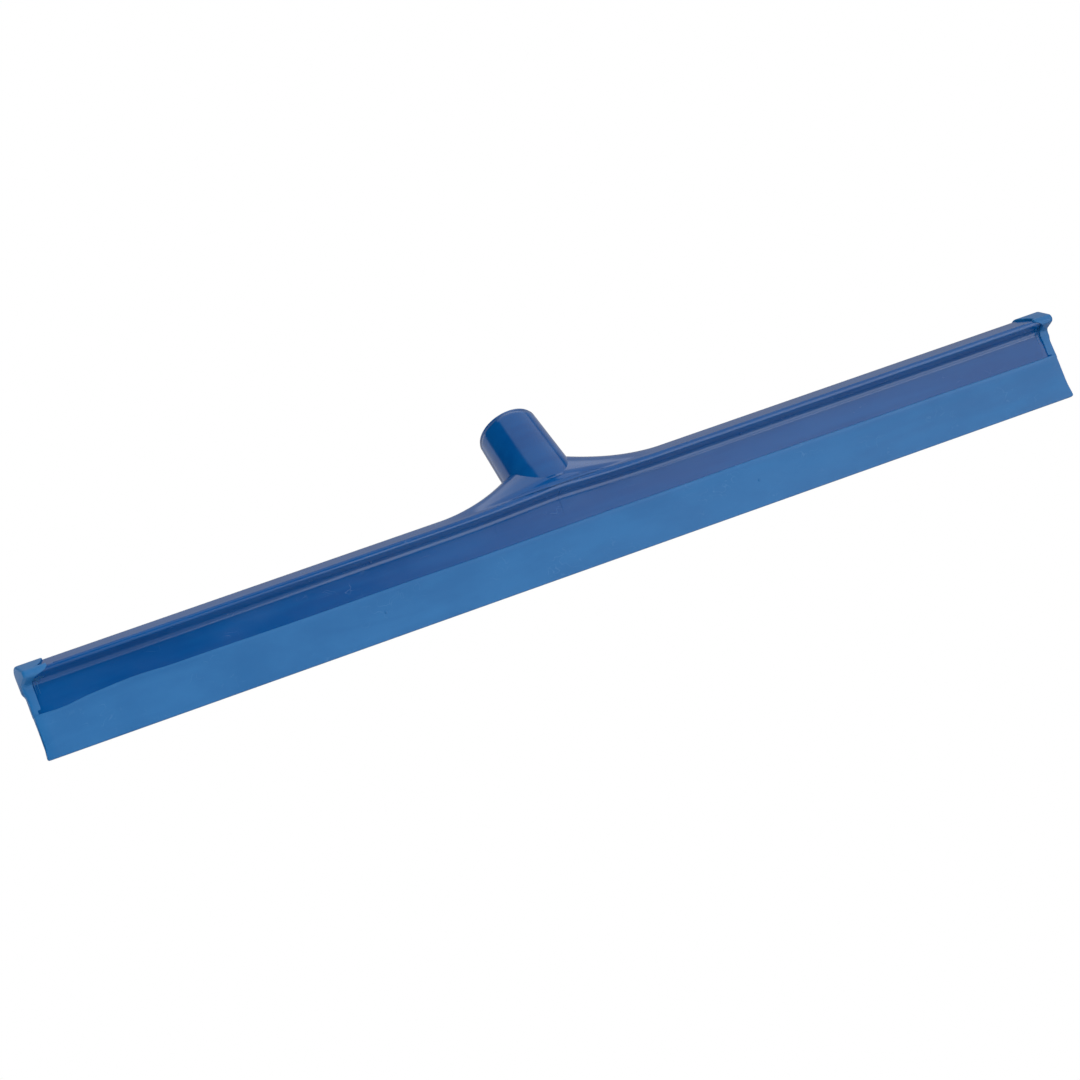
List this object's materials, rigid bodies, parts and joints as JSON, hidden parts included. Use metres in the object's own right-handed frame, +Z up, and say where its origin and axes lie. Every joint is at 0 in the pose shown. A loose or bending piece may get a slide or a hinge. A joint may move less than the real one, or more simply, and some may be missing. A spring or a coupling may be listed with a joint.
{
  "type": "floor squeegee head",
  "caption": "Long one-piece floor squeegee head: stiff ridged plastic frame with a leaning round handle socket, soft bonded blade and soft end caps.",
  "frame": {"origin": "centre of the handle socket's mouth, on the socket's axis", "axes": "+X along the blade, -Y the front with the ridge, +Z up in the plane of the blade, away from the wiping edge"},
  "size_m": [0.6, 0.0574, 0.0943],
  "materials": {
    "frame_plastic": "moulded polypropylene with a soft gloss",
    "soft_blade": "satin thermoplastic elastomer"
  },
  "bodies": {
    "head": {"beam": "frame_plastic", "gusset": "frame_plastic", "handle_socket": "frame_plastic", "blade_root": "soft_blade", "end_cap_left": "soft_blade", "end_cap_right": "soft_blade"},
    "lip": {"blade_lip": "soft_blade"}
  },
  "joints": [
    {"name": "blade_flex", "type": "hinge", "parent": "head", "child": "lip", "pos_m": [0, -0.0297, -0.06654], "axis": [1, 0, 0], "range_deg": [-22, 22], "stiffness_Nm_per_rad": 2.5}
  ]
}
